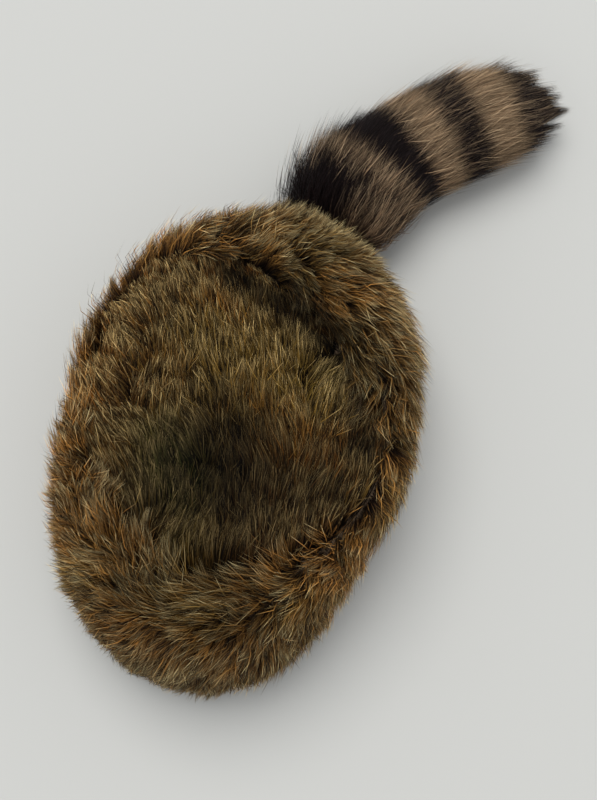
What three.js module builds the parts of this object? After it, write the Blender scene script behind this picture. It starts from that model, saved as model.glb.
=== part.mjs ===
// A coonskin cap that rests on its rim, with its ringed tail trailing behind it on the surface.
// Millimetres, +Z up. The origin is the middle of the head opening, level with the rim's edge.
// The front of the cap faces -Y, and the tail leaves the back, at +Y, and swings to the right.
//
// The cap is sewn from three pieces of fur: a round crown, a side band below it and a tail.
// Each piece has a thin hide under matted underfur, and its longer hair stands out in locks.

import * as THREE from "three";
import { mergeVertices } from "three/addons/utils/BufferGeometryUtils.js";

// Driving dimensions of the band and crown.
const rimLength = 214; // outside the hide at the rim, front to back
const rimWidth = 149;
const crownLength = 152; // along the seam between crown and band, front to back
const crownWidth = 144;
const crownShift = 5; // the crown lies this far behind the middle of the rim
const crownHeight = 72; // of the seam above the surface
const crownSag = 6; // of the crown's middle below its seam
const dimpleDepth = 7; // the soft dent in the crown, towards the front left
const bandBulge = 5; // how far the band swells beyond a straight wall
const foldRise = 12; // the roll where the band puffs up over the crown's back edge
const foldLean = 4;
const hideThickness = 2;
const mattingDepth = 6; // underfur that stands on the hide as one mass
const seamGap = 0.6; // between the sewn edges of crown and band

// Driving dimensions of the locks: how far a tip runs along its lay, and stands off the matting.
const crownLock = { reach: 17, rise: 8 };
const bandLock = { reach: 17, rise: 9 };
const tailLock = { reach: 20, rise: 9 };

// Driving dimensions of the tail.
const tailWidth = 66; // over the tips of its hair, at its widest
const tailDepth = 40;
const tailSeatWidth = 44; // of its sewn end against the band
const tailSeatDepth = 28;
const tailRootHeight = 23; // of the tail's middle where it is sewn to the band
const tailReach = 120; // from its sewn end to the end of its core, measured front to back
const tailSide = 12; // the tail is sewn on this far to the right of the back
const tailClearance = 0.6; // between the tail and the band
const liftOff = 0.3; // between the lowest hair and the surface

// How finely each surface is divided. Every second point is the tip of a lock.
const bandColumns = 120;
const bandRows = 13;
const crownDivisions = 28;
const tailColumns = 24;
const tailRows = 42;

// The look of the surfaces.
const crownColour = 0x4d4329;
const bandColour = 0x6a4f2c;
const tailColour = 0x6f5f4c;
const furRoughness = 0.85;

const fullTurn = 360;
const radians = THREE.MathUtils.degToRad;
const degreesOf = THREE.MathUtils.radToDeg;
const up = new THREE.Vector3(0, 0, 1);

// The cap has slumped out of a true oval. Each row holds shares at one angle, counted from +X
// towards the back: seam and rim of their ovals, height of the seam, and how far the fold rises.
const slump = [
  { angle: 0, seam: 1.0, rim: 0.98, height: 1.0, fold: 0.1 },
  { angle: 30, seam: 0.93, rim: 1.01, height: 1.02, fold: 0.75 },
  { angle: 60, seam: 0.88, rim: 1.04, height: 1.03, fold: 1.0 },
  { angle: 90, seam: 0.93, rim: 1.06, height: 1.04, fold: 0.8 },
  { angle: 120, seam: 1.1, rim: 0.96, height: 1.03, fold: 0.25 },
  { angle: 150, seam: 1.06, rim: 0.92, height: 1.0, fold: 0.0 },
  { angle: 180, seam: 0.92, rim: 0.87, height: 0.97, fold: 0.0 },
  { angle: 210, seam: 0.9, rim: 0.94, height: 0.94, fold: 0.0 },
  { angle: 240, seam: 0.9, rim: 1.01, height: 0.93, fold: 0.0 },
  { angle: 270, seam: 0.97, rim: 1.07, height: 0.94, fold: 0.0 },
  { angle: 300, seam: 0.95, rim: 1.04, height: 0.96, fold: 0.0 },
  { angle: 330, seam: 0.97, rim: 0.91, height: 0.98, fold: 0.0 },
];

// A repeatable number from 0 to 1 for each whole number.
function scatter(index) {
  const wave = Math.sin(index * 12.9898 + 4.1414) * 43758.5453;
  return wave - Math.floor(wave);
}

// One column of the slump table at any angle in degrees, as a smooth closed curve.
function slumpAt(column, degrees) {
  const spacing = fullTurn / slump.length;
  const place = (((degrees % fullTurn) + fullTurn) % fullTurn) / spacing;
  const row = Math.floor(place);
  const value = (offset) => slump[(row + offset + slump.length) % slump.length][column];
  const t = place - row;
  const [before, start, end, after] = [value(-1), value(0), value(1), value(2)];
  const slope = (end - before) / 2;
  const nextSlope = (after - start) / 2;
  const turn = 2 * (start - end) + slope + nextSlope;
  const bend = 3 * (end - start) - 2 * slope - nextSlope;
  return start + t * (slope + t * (bend + t * turn));
}

function ovalReach(degrees, width, length) {
  const a = radians(degrees);
  return 1 / Math.hypot(Math.cos(a) / (width / 2), Math.sin(a) / (length / 2));
}

// The sewn seam at the top of the band. Inset moves it towards the middle of the crown.
function seamPoint(degrees, inset = 0) {
  const a = radians(degrees);
  const share = slumpAt("seam", degrees);
  const reach = ovalReach(degrees, crownWidth, crownLength) * share - inset;
  const height = crownHeight * slumpAt("height", degrees);
  return new THREE.Vector3(reach * Math.cos(a), crownShift + reach * Math.sin(a), height);
}

function rimPoint(degrees) {
  const a = radians(degrees);
  const reach = ovalReach(degrees, rimWidth, rimLength) * slumpAt("rim", degrees);
  return new THREE.Vector3(reach * Math.cos(a), reach * Math.sin(a), 0);
}

// The hide's outer face on the band. Climb runs from 0 at the rim to 1 at the seam.
function bandHide(degrees, climb) {
  const rim = rimPoint(degrees);
  const seam = seamPoint(degrees, -seamGap / 2);
  const quarter = (climb * Math.PI) / 2;
  const outwardShare = Math.cos(quarter) ** 0.8;
  const point = seam.clone().lerp(rim, outwardShare);
  const outward = new THREE.Vector3(Math.cos(radians(degrees)), Math.sin(radians(degrees)), 0);
  const fold = slumpAt("fold", degrees) * Math.sin(Math.PI * climb * climb) ** 2;
  point.addScaledVector(outward, bandBulge * Math.sin(2 * quarter) - foldLean * fold);
  point.z = seam.z * Math.sin(quarter) ** 1.1 + foldRise * fold;
  return point;
}

// A point on the band and the directions of its surface there.
function bandFrame(degrees, climb) {
  const nudge = 0.5;
  const step = 0.01;
  const point = bandHide(degrees, climb);
  const clockwise = bandHide(degrees - nudge, climb).sub(bandHide(degrees + nudge, climb)).normalize();
  const low = bandHide(degrees, Math.max(0, climb - step));
  const high = bandHide(degrees, Math.min(1, climb + step));
  const down = low.sub(high).normalize();
  const normal = new THREE.Vector3().crossVectors(clockwise, down).normalize();
  if (climb >= 1) normal.copy(up); // the sewn edges of band and crown stand side by side
  if (climb <= 0) normal.set(normal.x, normal.y, 0).normalize(); // the rim is cut level
  return { point, clockwise, down, normal };
}

// The hide's upper face on the crown. Reach runs from 0 in the middle to 1 at the seam.
function crownHide(degrees, reach) {
  const dimple = { x: -0.17 * crownWidth, y: -0.12 * crownLength, spread: 0.2 * crownWidth };
  const edge = seamPoint(degrees, seamGap / 2);
  const x = edge.x * reach;
  const y = crownShift + (edge.y - crownShift) * reach;
  const held = reach * reach;
  const middle = crownHeight - crownSag;
  const away = Math.hypot(x - dimple.x, y - dimple.y) / dimple.spread;
  const dent = dimpleDepth * Math.exp((-away * away) / 2) * (1 - held * held);
  return new THREE.Vector3(x, y, edge.z * held + middle * (1 - held) - dent);
}

// The tail's middle line. Each row holds a point as shares: along, of the tail's reach from its
// sewn end, across, of the same reach towards the right, and lift, of the root's height.
const tailRoute = [
  { along: 0.0, across: 0.0, lift: 1.0 },
  { along: 0.15, across: 0.02, lift: 0.97 },
  { along: 0.33, across: 0.08, lift: 0.9 },
  { along: 0.48, across: 0.19, lift: 0.87 },
  { along: 0.61, across: 0.32, lift: 0.85 },
  { along: 0.72, across: 0.45, lift: 0.85 },
  { along: 0.81, across: 0.58, lift: 0.85 },
  { along: 0.86, across: 0.7, lift: 0.82 },
];
// The tail's thickness over the tips of its hair, as a share of its full size.
const tailSwell = [
  { along: 0.0, share: 0.8 },
  { along: 0.1, share: 1.0 },
  { along: 0.3, share: 1.05 },
  { along: 0.5, share: 1.0 },
  { along: 0.75, share: 0.9 },
  { along: 0.92, share: 0.74 },
  { along: 1.0, share: 0.56 },
];

function tailSwellAt(along) {
  const next = tailSwell.findIndex((row) => row.along >= along);
  const high = tailSwell[Math.max(1, next)];
  const low = tailSwell[Math.max(1, next) - 1];
  const share = (along - low.along) / (high.along - low.along);
  return THREE.MathUtils.lerp(low.share, high.share, share * share * (3 - 2 * share));
}

// Where the tail is sewn on: an angle round the band and a climb up it.
function tailSeat() {
  const degrees = 90 - degreesOf(Math.atan2(tailSide, rimLength / 2));
  const climbs = Array.from({ length: 101 }, (_, i) => i / 200);
  const miss = (climb) => Math.abs(bandHide(degrees, climb).z - tailRootHeight);
  const climb = climbs.reduce((best, each) => (miss(each) < miss(best) ? each : best));
  const { point, clockwise, normal } = bandFrame(degrees, climb);
  const radius = Math.hypot(point.x, point.y);
  return { degrees, climb, point, clockwise, normal, radius };
}
const seat = tailSeat();

// A point on the band's matting under the tail, at shares of the sewn end's half width and depth.
function seatPoint(across, rise) {
  const turn = degreesOf((across * tailSeatWidth) / 2 / seat.radius);
  const climbing = (rise * tailSeatDepth) / 2 / (bandHide(seat.degrees, 1).z * (Math.PI / 2));
  const { point, normal } = bandFrame(seat.degrees - turn, seat.climb + climbing);
  return point.addScaledVector(normal, mattingDepth + tailClearance);
}

function tailCurve() {
  const start = seatPoint(0, 0);
  const place = (row) =>
    new THREE.Vector3(
      start.x + tailReach * row.across,
      start.y + tailReach * row.along,
      start.z * row.lift,
    );
  return new THREE.CatmullRomCurve3(tailRoute.map(place));
}
const tailLine = tailCurve();

// The tail's middle and its sideways, upward and forward directions, from root 0 to end 1.
function tailFrame(along) {
  const point = tailLine.getPointAt(along);
  const forward = tailLine.getTangentAt(along);
  const side = new THREE.Vector3().crossVectors(forward, up).normalize();
  const rise = new THREE.Vector3().crossVectors(side, forward).normalize();
  return { point, forward, side, rise };
}

// Triangles between the points of a grid, given as a list of rows. Each cell is cut so that an
// odd point, a lock's tip, is joined only to the even points round it.
function sheet(corners, rows, around, closed) {
  const count = rows[0].length;
  const last = closed ? rows.length : rows.length - 1;
  const columns = around ? count : count - 1;
  for (let r = 0; r < last; r++) {
    for (let c = 0; c < columns; c++) {
      const [here, beyond] = [rows[r], rows[(r + 1) % rows.length]];
      const next = (c + 1) % count;
      const [a, b, d, e] = [here[c], here[next], beyond[c], beyond[next]];
      if ((r + c) % 2) corners.push(a, b, d, b, e, d);
      else corners.push(a, b, e, a, e, d);
    }
  }
}

// Closes a ring with triangles to a point.
function fan(corners, ring, middle) {
  ring.forEach((point, i) => corners.push(point, ring[(i + 1) % ring.length], middle));
}

function isTip(row, column, lastRow) {
  return row > 0 && row < lastRow && (row + column) % 2 === 1;
}

// A lock's tip, drawn out of its root along its lay, and a little longer or shorter at random.
function drawn(root, lay, normal, lock, seed) {
  const sideways = new THREE.Vector3().crossVectors(lay, normal);
  const size = 0.75 + 0.5 * scatter(seed);
  const stray = 0.5 * (scatter(seed + 37) - 0.5);
  return root
    .clone()
    .addScaledVector(lay, lock.reach * size)
    .addScaledVector(sideways, lock.reach * size * stray)
    .addScaledVector(normal, lock.rise * (0.8 + 0.4 * scatter(seed + 71)));
}

// The band's hair runs clockwise round the cap, seen from above, and falls more towards the rim.
function bandOuter(row, column) {
  const climb = row / bandRows;
  const degrees = (column * fullTurn) / bandColumns;
  const { point, clockwise, down, normal } = bandFrame(degrees, climb);
  point.addScaledVector(normal, mattingDepth);
  if (!isTip(row, column, bandRows)) return outsideSeam(point);
  const seed = 1000 + row * bandColumns + column;
  const fall = 0.25 + 0.6 * (1 - climb) + 0.5 * (scatter(seed + 13) - 0.5);
  const lay = clockwise.addScaledVector(down, fall).normalize();
  const height = Math.min(1, 3 * (1 - climb)) * quietNearTail(degrees, climb);
  const lock = { reach: bandLock.reach * height, rise: bandLock.rise * height };
  return outsideSeam(aboveSurface(drawn(point, lay, normal, lock, seed), point));
}

// The band's fur stops at the seam, where the crown's begins.
function outsideSeam(point) {
  const inside = seamRoom(point) + seamGap;
  const out = new THREE.Vector3(point.x, point.y - crownShift, 0).normalize();
  return inside > 0 ? point.addScaledVector(out, inside) : point;
}

// Hair that would reach the surface lies just over it, the hair rooted higher a little higher.
function aboveSurface(tip, root) {
  return tip.setZ(Math.max(tip.z, liftOff + 0.02 * root.z));
}

// The band's locks lie flat where the tail is sewn on: 0 there and 1 a lock's reach beyond it.
function quietNearTail(degrees, climb) {
  const away = radians(degrees - seat.degrees) * seat.radius;
  const above = (climb - seat.climb) * bandHide(seat.degrees, 1).z * (Math.PI / 2);
  const across = Math.abs(away) / (tailSeatWidth / 2 + bandLock.reach);
  const over = Math.abs(above) / (tailSeatDepth / 2 + bandLock.rise);
  return THREE.MathUtils.clamp(4 * (Math.hypot(across, over) - 0.9), 0, 1);
}

function sideBand() {
  const rows = [];
  const columns = Array.from({ length: bandColumns }, (_, column) => column);
  for (let row = 0; row <= bandRows; row++) {
    rows.push(columns.map((column) => bandOuter(row, column)));
  }
  const inner = (climb) => (column) => {
    const { point, normal } = bandFrame((column * fullTurn) / bandColumns, climb);
    return point.addScaledVector(normal, -hideThickness);
  };
  for (const climb of [1, 0.85, 0.65, 0.45, 0.22, 0]) rows.push(columns.map(inner(climb)));
  const corners = [];
  sheet(corners, rows, true, true);
  return corners;
}

// A square grid point turned into an angle and a reach, which spreads the grid over a disc.
function discPlace(row, column) {
  const u = (2 * column) / crownDivisions - 1;
  const v = (2 * row) / crownDivisions - 1;
  const reach = Math.max(Math.abs(u), Math.abs(v));
  if (reach === 0) return { degrees: 0, reach };
  const eighth = fullTurn / 8;
  if (Math.abs(u) >= Math.abs(v)) return { degrees: (eighth * v) / u + (u < 0 ? 180 : 0), reach };
  return { degrees: 90 - (eighth * u) / v + (v < 0 ? 180 : 0), reach };
}

// How far a point lies inside the crown's seam, seen from above.
function seamRoom(point) {
  const degrees = degreesOf(Math.atan2(point.y - crownShift, point.x));
  const edge = seamPoint(degrees, seamGap / 2);
  return Math.hypot(edge.x, edge.y - crownShift) - Math.hypot(point.x, point.y - crownShift);
}

// The crown's hair runs to the back and fans out to both sides, and stops short of the seam.
function crownOuter(row, column) {
  const { degrees, reach } = discPlace(row, column);
  const point = crownHide(degrees, reach);
  point.z += mattingDepth;
  const edge = crownDivisions;
  const inside = row > 0 && row < edge && column > 0 && column < edge;
  if (!inside || (row + column) % 2 === 0) return point;
  const seed = row * crownDivisions + column;
  const spread = -0.3 + (0.8 * point.x) / (crownWidth / 2);
  const lay = new THREE.Vector3(Math.sin(spread), Math.cos(spread), 0);
  const tip = drawn(point, lay, up, crownLock, seed);
  const away = tip.clone().sub(point).setZ(0);
  const spare = seamRoom(tip) - seamGap;
  if (spare < 0) tip.addScaledVector(away, Math.max(-1, spare / away.length()));
  return tip;
}

function crown() {
  const count = crownDivisions;
  const rows = Array.from({ length: count + 1 }, (_, row) =>
    Array.from({ length: count + 1 }, (_, column) => crownOuter(row, column)),
  );
  const corners = [];
  sheet(corners, rows, false, false);
  const edge = [];
  for (let i = 0; i < count; i++) edge.push([i, 0]);
  for (let i = 0; i < count; i++) edge.push([count, i]);
  for (let i = 0; i < count; i++) edge.push([count - i, count]);
  for (let i = 0; i < count; i++) edge.push([0, count - i]);
  const under = (share) =>
    edge.map(([row, column]) => {
      const point = crownHide(discPlace(row, column).degrees, share);
      return point.setZ(point.z - hideThickness);
    });
  const top = edge.map(([row, column]) => rows[row][column]);
  const rings = [top, under(1), under(0.7), under(0.4)];
  const middle = crownHide(0, 0);
  middle.z -= hideThickness;
  sheet(corners, rings, true, false);
  fan(corners, rings[rings.length - 1], middle);
  return corners;
}

// The tail's hair runs towards its tip. Its first row is the sewn end.
function tailOuter(row, column) {
  const round = radians((column * fullTurn) / tailColumns);
  if (row === 0) return seatPoint(Math.cos(round), Math.sin(round));
  const along = row / tailRows;
  const { point: middle, forward, side, rise } = tailFrame(along);
  const swell = tailSwellAt(along);
  const settle = Math.min(1, row / 3); // the first rows widen from the sewn end
  const width = THREE.MathUtils.lerp(tailSeatWidth, tailWidth * swell - 2 * tailLock.rise, settle);
  const depth = THREE.MathUtils.lerp(tailSeatDepth, tailDepth * swell - 2 * tailLock.rise, settle);
  const point = middle
    .clone()
    .addScaledVector(side, (Math.cos(round) * width) / 2)
    .addScaledVector(rise, (Math.sin(round) * depth) / 2);
  if (!isTip(row, column, tailRows + 1)) return point;
  const normal = point.clone().sub(middle).normalize();
  const seed = 5000 + row * tailColumns + column;
  const height = settle * Math.min(1, swell);
  const lock = { reach: tailLock.reach * height, rise: tailLock.rise * height };
  return aboveSurface(drawn(point, forward, normal, lock, seed), point);
}

function tail() {
  const columns = Array.from({ length: tailColumns }, (_, column) => column);
  const rows = [];
  for (const share of [0.33, 0.67]) {
    rows.push(
      columns.map((column) => {
        const round = radians((column * fullTurn) / tailColumns);
        return seatPoint(share * Math.cos(round), share * Math.sin(round));
      }),
    );
  }
  for (let row = 0; row <= tailRows; row++) {
    rows.push(columns.map((column) => tailOuter(row, column)));
  }
  const corners = [];
  sheet(corners, rows, true, false);
  const { point, forward } = tailFrame(1);
  fan(corners, rows[rows.length - 1], point.addScaledVector(forward, tailLock.reach / 2));
  fan(corners, rows[0].slice().reverse(), seatPoint(0, 0));
  return corners;
}

function volumeOf(positions, triangles) {
  const corner = (index) => new THREE.Vector3().fromArray(positions, 3 * triangles[index]);
  let sum = 0;
  for (let i = 0; i < triangles.length; i += 3) {
    sum += corner(i).dot(corner(i + 1).cross(corner(i + 2)));
  }
  return sum / 6;
}

// One piece from a list of triangle corners, turned to face outwards.
function node(name, corners, color) {
  const bare = new THREE.BufferGeometry().setFromPoints(corners);
  const geometry = mergeVertices(bare, 1e-4);
  const triangles = Array.from(geometry.index.array);
  if (volumeOf(geometry.attributes.position.array, triangles) < 0) triangles.reverse();
  geometry.setIndex(triangles);
  geometry.computeVertexNormals();
  const material = new THREE.MeshStandardMaterial({ color, roughness: furRoughness, metalness: 0 });
  const mesh = new THREE.Mesh(geometry, material);
  mesh.name = name;
  return mesh;
}

const cap = new THREE.Group();
cap.add(node("crown", crown(), crownColour));
cap.add(node("side_band", sideBand(), bandColour));
cap.add(node("tail", tail(), tailColour));

export default cap;
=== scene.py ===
"""A coonskin cap on a plain pale surface: the hides, and the hair that grows from them in strands.

Metres, +Z up, in the part's own frame: the origin is the middle of the head opening, the front of
the cap faces -Y and the ringed tail trails from the back. The shapes of the hides follow the same
named sizes as the solids. Hair is grown by one node tree, from skins that carry its lay, its
length, the patches of colour and the painted shade and painted light."""

import math

import bmesh
import bpy
import numpy as np
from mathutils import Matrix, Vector


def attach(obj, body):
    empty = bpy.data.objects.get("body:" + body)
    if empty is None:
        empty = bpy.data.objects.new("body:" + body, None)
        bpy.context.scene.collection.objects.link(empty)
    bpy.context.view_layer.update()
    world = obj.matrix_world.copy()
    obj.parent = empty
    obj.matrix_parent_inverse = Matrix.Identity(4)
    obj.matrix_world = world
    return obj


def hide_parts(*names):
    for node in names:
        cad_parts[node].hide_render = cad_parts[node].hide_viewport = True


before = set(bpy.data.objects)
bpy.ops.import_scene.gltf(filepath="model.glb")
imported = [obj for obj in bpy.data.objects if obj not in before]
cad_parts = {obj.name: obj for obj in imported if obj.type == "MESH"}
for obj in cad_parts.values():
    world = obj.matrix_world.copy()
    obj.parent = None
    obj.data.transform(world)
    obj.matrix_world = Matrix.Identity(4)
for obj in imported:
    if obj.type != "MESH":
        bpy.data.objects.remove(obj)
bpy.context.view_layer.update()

MM = 0.001
FULL_TURN = 360.0
UP = np.array([0.0, 0.0, 1.0])

# Sizes of the hides, as in the solids.
RIM_LENGTH = 214 * MM
RIM_WIDTH = 149 * MM
CROWN_LENGTH = 152 * MM
CROWN_WIDTH = 144 * MM
CROWN_SHIFT = 5 * MM
CROWN_HEIGHT = 72 * MM
CROWN_SAG = 6 * MM
DIMPLE_DEPTH = 7 * MM
BAND_BULGE = 5 * MM
FOLD_RISE = 12 * MM
FOLD_LEAN = 4 * MM
HIDE = 2 * MM
SEAM_GAP = 0.6 * MM
TAIL_SIDE = 12 * MM
TAIL_ROOT_HEIGHT = 23 * MM
TAIL_REACH = 120 * MM
TAIL_WIDTH = 66 * MM
TAIL_DEPTH = 40 * MM

# The crown's dent: its middle from the origin and its spread, as shares of the crown.
DIMPLE_X = -0.17
DIMPLE_Y = -0.12
DIMPLE_SPREAD = 0.2

# The tail's hide, inside its hair.
TAIL_ANGLE = 90 - math.degrees(math.atan2(TAIL_SIDE, RIM_LENGTH / 2))  # where the band carries it
TAIL_PILE = 11 * MM  # from the hide to the tail's outline
TAIL_SEAT = 7 * MM  # from the band's hide to the start of the tail's line
TAIL_SKIN_END = 0.95  # where the hide closes, as a share of the line
TAIL_SWAY = 2 * MM  # the near part lies this far to the right of the line
TAIL_WAIST = 3.5 * MM  # how much slimmer each side is before the middle
TAIL_TAPER = 1.2 * MM  # and beyond it
TAIL_LEAST = (5 * MM, 4 * MM)  # half the least width and depth

# The cap's slump: at each angle from +X towards the back, the shares of the seam's and rim's ovals,
# the share of the seam's height, and how far the fold over the crown's edge rises.
SLUMP = (
    # angle, seam, rim, height, fold
    (0, 1.00, 0.98, 1.00, 0.10),
    (30, 0.93, 1.01, 1.02, 0.75),
    (60, 0.88, 1.04, 1.03, 1.00),
    (90, 0.93, 1.06, 1.04, 0.80),
    (120, 1.10, 0.96, 1.03, 0.25),
    (150, 1.06, 0.92, 1.00, 0.00),
    (180, 0.92, 0.87, 0.97, 0.00),
    (210, 0.90, 0.94, 0.94, 0.00),
    (240, 0.90, 1.01, 0.93, 0.00),
    (270, 0.97, 1.07, 0.94, 0.00),
    (300, 0.95, 1.04, 0.96, 0.00),
    (330, 0.97, 0.91, 0.98, 0.00),
)
SEAM, RIM, HEIGHT, FOLD = 1, 2, 3, 4

# The tail's middle line, as shares of its reach backwards and to the right and of its root's height.
TAIL_ROUTE = (
    (0.0, 0.0, 1.0),
    (0.15, 0.02, 0.97),
    (0.33, 0.08, 0.9),
    (0.48, 0.19, 0.87),
    (0.61, 0.32, 0.85),
    (0.72, 0.45, 0.85),
    (0.81, 0.58, 0.85),
    (0.86, 0.7, 0.82),
)
# How full the tail is along its line, as shares of its width and depth.
TAIL_SWELL = ((0.0, 0.8), (0.1, 1.0), (0.3, 1.05), (0.5, 1.0), (0.75, 0.9), (0.92, 0.74), (1.0, 0.56))

# Hair. Stand is the angle at which it leaves the hide. Tuft and lock are the distances between the
# hairs that draw their neighbours to them, and the pulls say how much. Frizz bends a hair, stray
# turns tufts and locks out of the lay, and wild turns a few single hairs out of it.
CROWN_HAIR = {
    "length": 17 * MM,
    "stand": 28.0,
    "width": 0.38 * MM,
    "tuft": 3.2 * MM,
    "lock": 10.0 * MM,
    "tuft_pull": 0.7,
    "lock_pull": 0.35,
    "frizz": 3.0 * MM,
    "stray": 0.35,
    "wild": 0.9,
}
BAND_HAIR = {
    "length": 13 * MM,
    "stand": 42.0,
    "width": 0.36 * MM,
    "tuft": 4.6 * MM,
    "lock": 10.0 * MM,
    "tuft_pull": 0.9,
    "lock_pull": 0.25,
    "frizz": 3.2 * MM,
    "stray": 1.15,
    "wild": 0.9,
}
TAIL_HAIR = {
    "length": 27 * MM,
    "stand": 22.0,
    "width": 0.35 * MM,
    "tuft": 3.2 * MM,
    "lock": 5.0 * MM,
    "tuft_pull": 0.6,
    "lock_pull": 0.2,
    "frizz": 1.6 * MM,
    "stray": 0.15,
    "wild": 0.1,
}
STRANDS = 62000  # in each piece of fur
SEGMENTS = 2  # along a strand
CROWN_GRID = 44  # divisions across the crown's hide
HAIR_FLOOR = 0.4 * MM  # hair that meets the surface lies this high above it
SEEN_SHARE = 0.6  # a hair's colour shows this far along it, where it covers the hide beyond its root

# The map that a strand's colours are baked to has a cell for each strand.
MAP_COLUMNS = 640
MAP_ROWS = 100
MAP_MARGIN = 0.04  # above and below a strand, as a share of its cell
MAP_HALF_WIDTH = 0.4  # of a strand at its root


def slump(column, degrees):
    """One column of the table at any angles, as a smooth closed curve."""
    values = np.array([row[column] for row in SLUMP])
    spacing = FULL_TURN / len(SLUMP)
    place = np.mod(np.asarray(degrees, float), FULL_TURN) / spacing
    row = np.floor(place).astype(int)
    t = place - row

    def value(offset):
        return values[(row + offset) % len(values)]

    before, start, end, after = value(-1), value(0), value(1), value(2)
    slope = (end - before) / 2
    next_slope = (after - start) / 2
    turn = 2 * (start - end) + slope + next_slope
    bend = 3 * (end - start) - 2 * slope - next_slope
    return start + t * (slope + t * (bend + t * turn))


def oval_reach(degrees, width, length):
    a = np.radians(degrees)
    return 1 / np.hypot(np.cos(a) / (width / 2), np.sin(a) / (length / 2))


def smooth(value, low, high):
    """0 below low, 1 above high, and smooth between."""
    t = np.clip((value - low) / (high - low), 0, 1)
    return t * t * (3 - 2 * t)


def fade(value, low, high):
    """1 below low, 0 above high, and smooth between."""
    return smooth(-value, -high, -low)


def bump(value, middle, spread):
    """1 at the middle, and falling off smoothly on both sides."""
    return np.exp(-(((value - middle) / spread) ** 2))


def points(x, y, z):
    return np.stack(np.broadcast_arrays(x, y, z), axis=-1).astype(float)


def unit(vectors):
    return vectors / np.maximum(np.linalg.norm(vectors, axis=-1, keepdims=True), 1e-12)


def seam_point(degrees, inset=0.0):
    a = np.radians(degrees)
    reach = oval_reach(degrees, CROWN_WIDTH, CROWN_LENGTH) * slump(SEAM, degrees) - inset
    height = CROWN_HEIGHT * slump(HEIGHT, degrees)
    return points(reach * np.cos(a), CROWN_SHIFT + reach * np.sin(a), height)


def rim_point(degrees):
    a = np.radians(degrees)
    reach = oval_reach(degrees, RIM_WIDTH, RIM_LENGTH) * slump(RIM, degrees)
    return points(reach * np.cos(a), reach * np.sin(a), 0)


def band_hide(degrees, climb):
    """The band's hide at angles round the cap and climbs from 0 at the rim to 1 at the seam."""
    degrees, climb = np.broadcast_arrays(np.asarray(degrees, float), np.asarray(climb, float))
    rim = rim_point(degrees)
    seam = seam_point(degrees, -SEAM_GAP / 2)
    quarter = climb * math.pi / 2
    share = np.maximum(np.cos(quarter), 0) ** 0.8
    place = seam + (rim - seam) * share[..., None]
    a = np.radians(degrees)
    outward = points(np.cos(a), np.sin(a), 0)
    fold = slump(FOLD, degrees) * np.sin(math.pi * climb**2) ** 2
    place = place + outward * (BAND_BULGE * np.sin(2 * quarter) - FOLD_LEAN * fold)[..., None]
    place[..., 2] = seam[..., 2] * np.sin(quarter) ** 1.1 + FOLD_RISE * fold
    return place


def band_frame(degrees, climb):
    """Points on the band, with the directions clockwise round it, down it and out of it."""
    place = band_hide(degrees, climb)
    clockwise = unit(band_hide(degrees - 0.5, climb) - band_hide(degrees + 0.5, climb))
    low = band_hide(degrees, np.maximum(0, climb - 0.01))
    high = band_hide(degrees, np.minimum(1, climb + 0.01))
    down = unit(low - high)
    return place, clockwise, down, unit(np.cross(clockwise, down))


def crown_hide(degrees, reach):
    """The crown's hide at angles and shares of the way from its middle to its seam."""
    edge = seam_point(degrees, SEAM_GAP / 2)
    x = edge[..., 0] * reach
    y = CROWN_SHIFT + (edge[..., 1] - CROWN_SHIFT) * reach
    held = reach**2
    away = np.hypot(x - DIMPLE_X * CROWN_WIDTH, y - DIMPLE_Y * CROWN_LENGTH)
    dent = DIMPLE_DEPTH * bump(away, 0, math.sqrt(2) * DIMPLE_SPREAD * CROWN_WIDTH) * (1 - held**2)
    return points(x, y, edge[..., 2] * held + (CROWN_HEIGHT - CROWN_SAG) * (1 - held) - dent)


def tail_line(count=400):
    """The tail's middle line as evenly spaced points from its sewn end to its tip."""
    climbs = np.linspace(0, 0.5, 101)
    climb = climbs[np.argmin(abs(band_hide(TAIL_ANGLE, climbs)[:, 2] - TAIL_ROOT_HEIGHT))]
    start, _, _, normal = band_frame(np.array([TAIL_ANGLE]), np.array([climb]))
    start = start[0] + normal[0] * TAIL_SEAT
    route = np.array(TAIL_ROUTE)
    knots = points(
        start[0] + TAIL_REACH * route[:, 1], start[1] + TAIL_REACH * route[:, 0], start[2] * route[:, 2]
    )
    padded = np.vstack([2 * knots[0] - knots[1], knots, 2 * knots[-1] - knots[-2]])
    fine = []
    for i in range(len(knots) - 1):
        a, b, c, d = padded[i : i + 4]
        t = np.linspace(0, 1, 40, endpoint=False)[:, None]
        turn = (2 * a - 5 * b + 4 * c - d) * t**2
        bend = (3 * b - a - 3 * c + d) * t**3
        fine.append(0.5 * (2 * b + (c - a) * t + turn + bend))
    fine = np.vstack([*fine, knots[-1:]])
    length = np.concatenate([[0], np.cumsum(np.linalg.norm(np.diff(fine, axis=0), axis=1))])
    even = np.linspace(0, length[-1], count)
    return np.stack([np.interp(even, length, fine[:, k]) for k in range(3)], axis=1)


TAIL_LINE = tail_line()


def tail_frame(along):
    """The tail's middle and its forward, sideways and upward directions."""
    steps = np.linspace(0, 1, len(TAIL_LINE))
    place = np.stack([np.interp(along, steps, TAIL_LINE[:, k]) for k in range(3)], axis=-1)
    tangents = np.gradient(TAIL_LINE, axis=0)
    forward = unit(np.stack([np.interp(along, steps, tangents[:, k]) for k in range(3)], axis=-1))
    side = unit(np.cross(forward, UP))
    return place, forward, side, np.cross(side, forward)


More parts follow.
